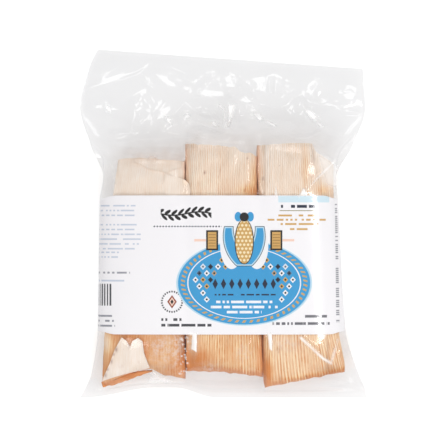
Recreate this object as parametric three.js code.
// A sealed clear film bag of three tamales in corn husks, with a printed band round its middle.
// The pack lies on its back. Millimetres: X runs across the bag, Y from the bottom seal towards the
// empty header, and Z up from the surface that the pack rests on. The origin is the centre of its base.
import * as THREE from 'three';

const { clamp, lerp, smoothstep } = THREE.MathUtils;

// ---- Driving dimensions -------------------------------------------------------------------------
const BAG_LENGTH = 263; // bottom seal to the highest corner of the top edge
const TOP_SLANT = 14.6; // how much lower the top edge's right corner lies than its left one
const FLAT_HALF = 108.5; // half the width of the empty film tube, laid flat
const FILL_HEIGHT = 36; // top of the film over a husk
const BAND_TOP = 21; // the printed band's upper edge
const BAND_BOTTOM = -83; // its lower edge
const BAND_SKIN = 0.45; // thickness that stands for the band's ink and film
const BAND_SINK = 0.15; // the band lies this far under the film round it
const FIT_GAP = 0.3; // clear gap between the band and the film
const TAMALE_GAPS = [-28, 27]; // where the film dips between two neighbouring husks
const GAP_DEPTH = 4.2; // how deep it dips there
const TAUT_GAP_DEPTH = 0.5; // and where the band's stretch of film is taut
const GAP_HALF_WIDTH = 5.5;
const LEFT_TAMALE_SHORTER = 10; // the left tamale ends this much lower than the other two at its top
const MIDDLE_TAMALE_SHORTER = 9; // the middle one ends this much higher than the others at its bottom
const EDGE_PULL = 2.5; // how far the sides draw the band's edges in towards its middle
const SEAL_CURL = 7.5; // how much higher the bottom seal lies where it curls up under the left tamale

const SEAL_Y = -BAG_LENGTH / 2;
const TOP_Y = BAG_LENGTH / 2;
const BAND_SEAT = BAND_SINK + BAND_SKIN + FIT_GAP; // depth of the bag's surface under the band

// ---- Sections of the filled bag -----------------------------------------------------------------
// Each section gives the bag's left and right half widths, the height of its side crease, of its front
// and of its back, and how square it is: 2 is an ellipse, less is a pinched lens, more is a box.
const SECTIONS = [
  { y: SEAL_Y, left: FLAT_HALF, right: FLAT_HALF, crease: 8, front: 8.7, back: 7.3, square: 1.5 },
  { y: -124, left: 104, right: 106.5, crease: 9.5, front: 21, back: 2.6, square: 1.55 },
  { y: -114, left: 99.5, right: 101.5, crease: 13, front: 31, back: 0, square: 2.1 },
  { y: BAND_BOTTOM, left: 94.8, right: 92, crease: 17, front: FILL_HEIGHT, back: 0, square: 3.3 },
  { y: BAND_TOP, left: 93.3, right: 86, crease: 17, front: FILL_HEIGHT, back: 0, square: 3.3 },
  { y: 37, left: 90.4, right: 84.8, crease: 16, front: 35.4, back: 0, square: 3 },
  { y: 59, left: 100, right: 97, crease: 11.5, front: 31, back: 0.4, square: 2.1 },
  { y: 88, left: 108.2, right: 107.2, crease: 5.5, front: 10, back: 1.2, square: 1.6 },
  { y: 110, left: 102.5, right: 106, crease: 5, front: 7.4, back: 2.4, square: 1.7 },
  { y: TOP_Y - TOP_SLANT / 2, left: 95, right: 105.5, crease: 5, front: 5.8, back: 4.2, square: 1.6 },
];

// The film's folds: ridges that run from one point to another and fade out at both ends.
const FOLDS = [
  { from: [-44, 126], to: [-104, 101], height: 2.2, width: 9 },
  { from: [-4, 116], to: [-26, 90], height: 2.4, width: 8 },
  { from: [6, 112], to: [24, 86], height: 2.4, width: 8 },
  { from: [4, 96], to: [5, 62], height: 3, width: 6 },
  { from: [74, 118], to: [66, 92], height: 1.8, width: 7 },
  { from: [106, 95], to: [62, 78], height: 2, width: 8 },
  { from: [-100, 88], to: [-58, 66], height: 2.2, width: 8 },
  { from: [-72, 60], to: [-66, 88], height: 2, width: 7 },
  { from: [88, 44], to: [60, 22], height: 1.4, width: 6 },
];

// The value of a section's field at y, on a smooth curve through the sections that never overshoots.
function sectionValue(field, y) {
  const last = SECTIONS.length - 1;
  const at = SECTIONS.findIndex((s) => y <= s.y);
  const k = clamp(at < 0 ? last - 1 : at - 1, 0, last - 1);
  const slope = (i) => (SECTIONS[i + 1][field] - SECTIONS[i][field]) / (SECTIONS[i + 1].y - SECTIONS[i].y);
  const tangent = (i) => {
    if (i === 0 || i === last) return slope(Math.min(i, last - 1));
    const [before, after] = [slope(i - 1), slope(i)];
    return before * after <= 0 ? 0 : (2 * before * after) / (before + after);
  };
  const span = SECTIONS[k + 1].y - SECTIONS[k].y;
  const t = clamp((y - SECTIONS[k].y) / span, 0, 1);
  const [a, b] = [SECTIONS[k][field], SECTIONS[k + 1][field]];
  const [ta, tb] = [tangent(k) * span, tangent(k + 1) * span];
  return a + t * (ta + t * (3 * (b - a) - 2 * ta - tb + t * (2 * (a - b) + ta + tb)));
}

// ---- Relief of the film -------------------------------------------------------------------------
// The dips between neighbouring tamales, which are shallow where the band holds the film taut.
function gapDip(x, y) {
  const overLowerEdge = smoothstep(y, BAND_BOTTOM - 16, BAND_BOTTOM + 4);
  const taut = overLowerEdge * (1 - smoothstep(y, BAND_TOP - 4, BAND_TOP + 16));
  const reach = smoothstep(y, SEAL_Y + 4, SEAL_Y + 18) * (1 - smoothstep(y, 58, 74));
  const depth = lerp(GAP_DEPTH, TAUT_GAP_DEPTH, taut) * reach;
  const dip = (gap) => depth * Math.exp(-(((x - gap) / GAP_HALF_WIDTH) ** 2));
  return TAMALE_GAPS.reduce((sum, gap) => sum + dip(gap), 0);
}

// How far along the bag the front's profile is read from x, y, so that the film falls away sooner past
// the end of a tamale that is shorter than its neighbours.
function shortTamaleShift(x, y) {
  const pastLeftGap = smoothstep(x, TAMALE_GAPS[0] - 7, TAMALE_GAPS[0] + 5);
  const pastRightGap = smoothstep(x, TAMALE_GAPS[1] - 5, TAMALE_GAPS[1] + 7);
  const leftTop = (1 - pastLeftGap) * smoothstep(y, 26, 46) * (1 - smoothstep(y, 62, 86));
  const nearSeal = (1 - smoothstep(y, -106, -90)) * smoothstep(y, SEAL_Y, SEAL_Y + 10);
  const middleBottom = pastLeftGap * (1 - pastRightGap) * nearSeal;
  return LEFT_TAMALE_SHORTER * leftTop - MIDDLE_TAMALE_SHORTER * middleBottom;
}

// How far the film is drawn along the bag beside the band, where its tube bends round the tamales.
function sidePull(across, y) {
  const middle = (BAND_TOP + BAND_BOTTOM) / 2;
  const fromMiddle = (y - middle) / (BAND_TOP - middle);
  const faded = fromMiddle * (1 - smoothstep(Math.abs(fromMiddle), 1.1, 1.9));
  return -EDGE_PULL * faded * smoothstep(Math.abs(across), 0.86, 1);
}

// How far the bottom seal is drawn up along the bag, where it curls under the left tamale.
function sealCurl(x, y) {
  const curled = smoothstep(x, -105, -52) * (1 - smoothstep(x, -36, -6));
  return SEAL_CURL * curled * (1 - smoothstep(y, SEAL_Y, SEAL_Y + 16));
}

// The slow waves of the empty header, which grow towards its free edge.
function headerWave(x, y) {
  const free = smoothstep(y, 74, TOP_Y);
  return free * (1.5 * Math.sin(x / 14 + 0.6) + 1.1 * Math.sin(x / 7.7 - y / 16));
}

function foldRidge({ from, to, height, width }, x, y) {
  const [dx, dy] = [to[0] - from[0], to[1] - from[1]];
  const along = clamp(((x - from[0]) * dx + (y - from[1]) * dy) / (dx * dx + dy * dy), 0, 1);
  const away = Math.hypot(x - from[0] - along * dx, y - from[1] - along * dy) / width;
  return away >= 1 ? 0 : height * Math.sin(Math.PI * along) ** 0.7 * (1 - away) ** 1.6;
}

// ---- The bag's skin -----------------------------------------------------------------------------
const FRONT_STEPS = 46; // panels round the front of a section
const BACK_STEPS = 22; // panels round its back
const RING = FRONT_STEPS + BACK_STEPS;

// A point of the bag's skin: row y, and step k counted from the right crease over the front to the left
// crease and back underneath. inset sinks the skin, as under the band, but never below the rest plane.
function skinPoint(y, k, inset) {
  const onFront = k <= FRONT_STEPS;
  const turn = onFront ? k / FRONT_STEPS : 1 - (k - FRONT_STEPS) / BACK_STEPS;
  const across = Math.cos(Math.PI * turn);
  const half = sectionValue(across > 0 ? 'right' : 'left', y) - inset;
  const x = across * half;
  const slant = smoothstep(y, 84, TOP_Y - TOP_SLANT / 2) * TOP_SLANT;
  const slanted = slant * (0.5 - clamp((x + 95) / 200.5, 0, 1));
  const pointY = y + slanted + sidePull(across, y) + sealCurl(x, y);
  const square = sectionValue('square', y);
  const rise = (1 - Math.min(Math.abs(across), 1) ** square) ** (1 / square);
  const crease = sectionValue('crease', y);
  const wave = headerWave(x, y);
  if (!onFront) {
    const flattened = 1.3; // the film would sag this far below the plane that flattens it
    const sag = smoothstep(y, -120, -108) * (1 - smoothstep(y, 50, 66)) * flattened;
    const back = lerp(crease, sectionValue('back', y) - sag, rise);
    return new THREE.Vector3(x, pointY, Math.max(back + wave * rise, 0) + inset * rise);
  }
  const front = sectionValue('front', y + shortTamaleShift(x, y));
  const folds = FOLDS.reduce((sum, fold) => sum + foldRidge(fold, x, pointY), 0);
  const relief = (folds + wave - gapDip(x, y)) * Math.min(1, rise * 1.4);
  return new THREE.Vector3(x, pointY, Math.max(lerp(crease, front, rise) + relief, 0) - inset * rise);
}

// Evenly spread values from a to b, both included.
function spread(a, b, steps) {
  return Array.from({ length: steps + 1 }, (_, i) => lerp(a, b, i / steps));
}

// Rings of points, one for each row, that all go round the bag the same way.
function ringsOf(rows) {
  return rows.map(([y, inset]) => Array.from({ length: RING }, (_, k) => skinPoint(y, k, inset)));
}

// ---- Solids -------------------------------------------------------------------------------------
// Collects triangles and gives them back as one indexed geometry.
class Shell {
  constructor() {
    this.points = [];
    this.faces = [];
  }

  addRing(ring) {
    const first = this.points.length;
    this.points.push(...ring);
    return ring.map((_, k) => first + k);
  }

  // The strip of panels between two rings. Its outside is on the right of the way from one to the next.
  bridge(from, to) {
    for (let k = 0; k < from.length; k += 1) {
      const next = (k + 1) % from.length;
      this.faces.push([from[k], to[k], from[next]], [to[k], to[next], from[next]]);
    }
  }

  // Closes a flat, slit-like end: panels join the front's points to the back's.
  closeEnd(ring, facesUp) {
    const outline = ring.map((i) => new THREE.Vector2(this.points[i].x, this.points[i].z));
    for (const face of THREE.ShapeUtils.triangulateShape(outline, [])) {
      const corners = face.map((i) => ring[i]);
      this.faces.push(facesUp ? corners.reverse() : corners);
    }
  }

  geometry() {
    const shape = new THREE.BufferGeometry();
    shape.setAttribute('position', new THREE.Float32BufferAttribute(this.points.flatMap((p) => p.toArray()), 3));
    shape.setIndex(this.faces.flat());
    shape.computeVertexNormals();
    return shape;
  }
}

// The sealed bag with its contents, as one body. Its skin is set in where the band lies.
function bagGeometry() {
  const seatTop = BAND_TOP + FIT_GAP;
  const seatBottom = BAND_BOTTOM - FIT_GAP;
  const level = (inset) => (y) => [y, inset];
  const rows = [
    ...spread(SEAL_Y, -112, 8).map(level(0)),
    ...spread(-106, seatBottom, 4).map(level(0)),
    ...bandRows().map(level(BAND_SEAT)),
    ...spread(seatTop, 48, 7).map(level(0)),
    ...spread(51.5, TOP_Y - TOP_SLANT / 2, 22).map(level(0)),
  ];
  const shell = new Shell();
  const rings = ringsOf(rows).map((ring) => shell.addRing(ring));
  rings.slice(1).forEach((ring, i) => shell.bridge(rings[i], ring));
  shell.closeEnd(rings[0], false);
  shell.closeEnd(rings[rings.length - 1], true);
  return shell.geometry();
}

// The rows that the band and the bag's seat under it share, so that their panels stay parallel.
function bandRows() {
  return spread(BAND_BOTTOM, BAND_TOP, 10);
}

// The printed band: a closed sleeve round the bag, level with the film above and below it.
function bandGeometry() {
  const shell = new Shell();
  const skins = [BAND_SINK, BAND_SINK + BAND_SKIN].map((inset) =>
    ringsOf(bandRows().map((y) => [y, inset])).map((ring) => shell.addRing(ring)),
  );
  const [outer, inner] = skins;
  for (let i = 1; i < outer.length; i += 1) {
    shell.bridge(outer[i - 1], outer[i]);
    shell.bridge(inner[i], inner[i - 1]);
  }
  shell.bridge(inner[0], outer[0]);
  shell.bridge(outer[outer.length - 1], inner[inner.length - 1]);
  return shell.geometry();
}

// ---- Materials ----------------------------------------------------------------------------------
const filledFilm = new THREE.MeshStandardMaterial({ color: 0xe8d3b4, roughness: 0.3, metalness: 0 });
const printedFilm = new THREE.MeshStandardMaterial({ color: 0xf2f2f6, roughness: 0.35, metalness: 0 });

// ---- The pack -----------------------------------------------------------------------------------
function namedMesh(name, geometry, material) {
  const mesh = new THREE.Mesh(geometry, material);
  mesh.name = name;
  return mesh;
}

const pack = new THREE.Group();
pack.add(namedMesh('bag', bagGeometry(), filledFilm));
pack.add(namedMesh('band', bandGeometry(), printedFilm));

export default pack;
